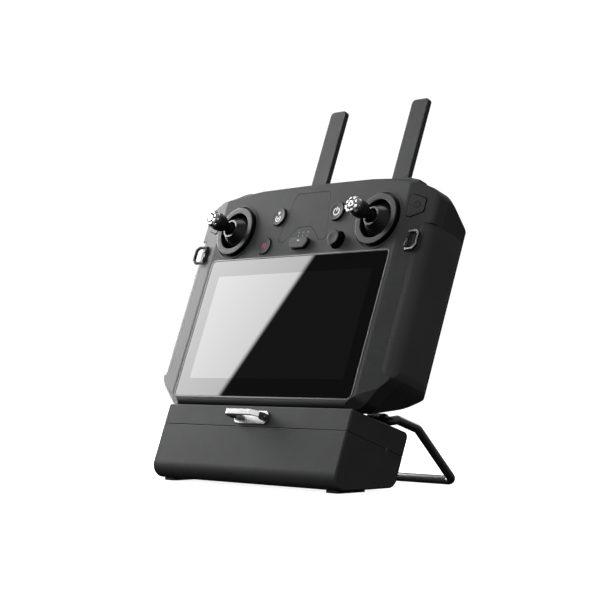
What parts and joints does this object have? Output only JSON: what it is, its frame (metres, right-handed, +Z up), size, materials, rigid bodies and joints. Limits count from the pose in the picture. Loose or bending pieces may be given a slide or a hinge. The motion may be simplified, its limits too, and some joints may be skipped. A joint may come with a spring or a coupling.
{
  "type": "radio transmitter controller",
  "caption": "Leaning handheld drone controller with wide screen, two sticks, folding flat antennas, battery module below and fold-out rear stand.",
  "frame": {"origin": "centre of the whole object's footprint box on the surface it stands on", "axes": "+Z up, front with the screen faces -Y, +X to the right as the user sees it"},
  "size_m": [0.2392, 0.139, 0.2728],
  "materials": {
    "shell_plastic": "fine-textured dark grey",
    "rear_plastic": "fine-textured dark grey",
    "grip_rubber": "soft-touch black",
    "glass_black": "polished cover glass",
    "panel_dark": "switched-off display",
    "rim_metal": "bright thin edge",
    "board_green": "circuit board",
    "cell_wrap": "wrapped cells",
    "sink_metal": "anodised",
    "inner_plastic": "moulded black",
    "ring_plastic": "satin dark grey",
    "gimbal_metal": "satin",
    "boot_plastic": "satin black",
    "knob_black": "knurled black anodised",
    "tip_metal": "bright turned",
    "blade_plastic": "fine-textured dark grey",
    "button_plastic": "satin dark grey",
    "key_black": "satin black",
    "ring_black": "black coated steel",
    "screw_steel": "dark steel",
    "module_plastic": "fine-textured dark grey",
    "bright_metal": "polished",
    "bail_metal": "dark grey coated rod",
    "foot_rubber": "black",
    "pin_steel": "ground pin"
  },
  "bodies": {
    "controller": {"front_shell": "shell_plastic", "rear_shell": "rear_plastic", "grip_left": "grip_rubber", "grip_right": "grip_rubber", "screen_glass": "glass_black", "screen_rim": "rim_metal", "display_panel": "panel_dark", "main_board": "board_green", "inner_battery": "cell_wrap", "fan_frame": "inner_plastic", "heat_sink": "sink_metal", "speaker": "inner_plastic", "stick_ring_left": "ring_plastic", "stick_ring_right": "ring_plastic", "gimbal_frame_left": "inner_plastic", "gimbal_frame_right": "inner_plastic", "inset_plate": "shell_plastic", "antenna_brackets": "rear_plastic", "antenna_pins": "pin_steel", "lanyard_brackets": "ring_plastic", "rear_cover": "rear_plastic", "shell_screws": "screw_steel", "module_top_shell": "module_plastic", "module_bottom_shell": "module_plastic", "dock_block": "inner_plastic", "module_cells": "cell_wrap", "module_board": "board_green", "charge_port": "inner_plastic", "rubber_feet": "foot_rubber", "hook_plate": "bright_metal", "hook_pins": "pin_steel", "stand_brackets": "key_black", "module_screws": "screw_steel"},
    "yoke_left": {"gimbal_yoke_left": "gimbal_metal"},
    "stick_left": {"stick_base_left": "boot_plastic", "stick_knob_left": "knob_black", "stick_tip_left": "tip_metal"},
    "yoke_right": {"gimbal_yoke_right": "gimbal_metal"},
    "stick_right": {"stick_base_right": "boot_plastic", "stick_knob_right": "knob_black", "stick_tip_right": "tip_metal"},
    "antenna_left": {"antenna_left": "blade_plastic"},
    "antenna_right": {"antenna_right": "blade_plastic"},
    "power_button_body": {"power_button": "button_plastic"},
    "function_button_body": {"function_button": "button_plastic"},
    "pause_button_body": {"pause_button": "button_plastic"},
    "corner_button_left_body": {"corner_button_left": "shell_plastic"},
    "corner_button_right_body": {"corner_button_right": "shell_plastic"},
    "record_button_body": {"record_button": "button_plastic"},
    "shutter_button_body": {"shutter_button": "button_plastic"},
    "mode_switch_body": {"mode_switch": "button_plastic"},
    "five_way_stem_body": {"five_way_stem": "gimbal_metal"},
    "five_way_knob_body": {"five_way_knob": "key_black"},
    "dial_left_body": {"dial_left": "key_black"},
    "dial_right_body": {"dial_right": "key_black"},
    "lanyard_ring_left_body": {"lanyard_ring_left": "ring_black"},
    "lanyard_ring_right_body": {"lanyard_ring_right": "ring_black"},
    "strap_hook_body": {"strap_hook": "bright_metal"},
    "stand_bail_body": {"stand_bail": "bail_metal"},
    "fan_rotor_body": {"fan_rotor": "inner_plastic"}
  },
  "joints": [
    {"name": "stick_left_pitch", "type": "hinge", "parent": "controller", "child": "yoke_left", "pos_m": [-0.0735, 0.00172, 0.17612], "axis": [1, 0, 0], "range_deg": [-18, 18], "stiffness_Nm_per_rad": 0.06},
    {"name": "stick_left_yaw", "type": "hinge", "parent": "yoke_left", "child": "stick_left", "pos_m": [-0.0735, 0.00172, 0.17612], "axis": [0, 0.3469, 0.9379], "range_deg": [-18, 18], "stiffness_Nm_per_rad": 0.06},
    {"name": "stick_right_pitch", "type": "hinge", "parent": "controller", "child": "yoke_right", "pos_m": [0.0735, 0.00172, 0.17612], "axis": [1, 0, 0], "range_deg": [-18, 18], "stiffness_Nm_per_rad": 0.06},
    {"name": "stick_right_yaw", "type": "hinge", "parent": "yoke_right", "child": "stick_right", "pos_m": [0.0735, 0.00172, 0.17612], "axis": [0, 0.3469, 0.9379], "range_deg": [-18, 18], "stiffness_Nm_per_rad": 0.06},
    {"name": "antenna_left_fold", "type": "hinge", "parent": "controller", "child": "antenna_left", "pos_m": [-0.04255, 0.04087, 0.1805], "axis": [-1, 0, 0], "range_deg": [0, 180]},
    {"name": "antenna_right_fold", "type": "hinge", "parent": "controller", "child": "antenna_right", "pos_m": [0.04255, 0.04087, 0.1805], "axis": [-1, 0, 0], "range_deg": [0, 180]},
    {"name": "power_button_press", "type": "slide", "parent": "controller", "child": "power_button_body", "axis": [0, 0.9379, -0.3469], "range_m": [0, 0.001], "stiffness_N_per_m": 400},
    {"name": "function_button_press", "type": "slide", "parent": "controller", "child": "function_button_body", "axis": [0, 0.9379, -0.3469], "range_m": [0, 0.001], "stiffness_N_per_m": 400},
    {"name": "pause_button_press", "type": "slide", "parent": "controller", "child": "pause_button_body", "axis": [0, 0.9379, -0.3469], "range_m": [0, 0.0007], "stiffness_N_per_m": 400},
    {"name": "corner_button_left_press", "type": "slide", "parent": "controller", "child": "corner_button_left_body", "axis": [0, 0.9379, -0.3469], "range_m": [0, 0.0008], "stiffness_N_per_m": 400},
    {"name": "corner_button_right_press", "type": "slide", "parent": "controller", "child": "corner_button_right_body", "axis": [0, 0.9379, -0.3469], "range_m": [0, 0.0008], "stiffness_N_per_m": 400},
    {"name": "record_button_press", "type": "slide", "parent": "controller", "child": "record_button_body", "axis": [0.2319, -0.3375, -0.9123], "range_m": [0, 0.001], "stiffness_N_per_m": 400},
    {"name": "shutter_button_press", "type": "slide", "parent": "controller", "child": "shutter_button_body", "axis": [-0.2319, -0.3375, -0.9123], "range_m": [0, 0.001], "stiffness_N_per_m": 400},
    {"name": "mode_switch_slide", "type": "slide", "parent": "controller", "child": "mode_switch_body", "axis": [1, 0, 0], "range_m": [-0.0035, 0.0035]},
    {"name": "five_way_up_down", "type": "hinge", "parent": "controller", "child": "five_way_stem_body", "pos_m": [0.0383, -0.0059, 0.16561], "axis": [1, 0, 0], "range_deg": [-6, 6], "stiffness_Nm_per_rad": 0.01},
    {"name": "five_way_left_right", "type": "hinge", "parent": "five_way_stem_body", "child": "five_way_knob_body", "pos_m": [0.0383, -0.0059, 0.16561], "axis": [0, 0.3469, 0.9379], "range_deg": [-6, 6], "stiffness_Nm_per_rad": 0.01},
    {"name": "dial_left_turn", "type": "hinge", "parent": "controller", "child": "dial_left_body", "pos_m": [-0.092, 0.02377, 0.18385], "axis": [1, 0, 0], "range_deg": [-25, 25], "stiffness_Nm_per_rad": 0.01},
    {"name": "dial_right_turn", "type": "hinge", "parent": "controller", "child": "dial_right_body", "pos_m": [0.092, 0.02377, 0.18385], "axis": [1, 0, 0], "range_deg": [-25, 25], "stiffness_Nm_per_rad": 0.01},
    {"name": "lanyard_ring_left_swing", "type": "hinge", "parent": "controller", "child": "lanyard_ring_left_body", "pos_m": [-0.1052, -0.01238, 0.16395], "axis": [0, -0.3469, -0.9379], "range_deg": [-140, 0]},
    {"name": "lanyard_ring_right_swing", "type": "hinge", "parent": "controller", "child": "lanyard_ring_right_body", "pos_m": [0.1052, -0.01238, 0.16395], "axis": [0, 0.3469, 0.9379], "range_deg": [-140, 0]},
    {"name": "strap_hook_fold", "type": "hinge", "parent": "controller", "child": "strap_hook_body", "pos_m": [0, -0.05907, 0.04752], "axis": [1, 0, 0], "range_deg": [-80, 80]},
    {"name": "stand_bail_fold", "type": "hinge", "parent": "controller", "child": "stand_bail_body", "pos_m": [0, -0.00894, 0.04497], "axis": [-1, 0, 0], "range_deg": [0, 66]},
    {"name": "fan_spin", "type": "hinge", "parent": "controller", "child": "fan_rotor_body", "pos_m": [0, 0.01756, 0.15842], "axis": [0, 0.9379, -0.3469], "continuous": true}
  ]
}
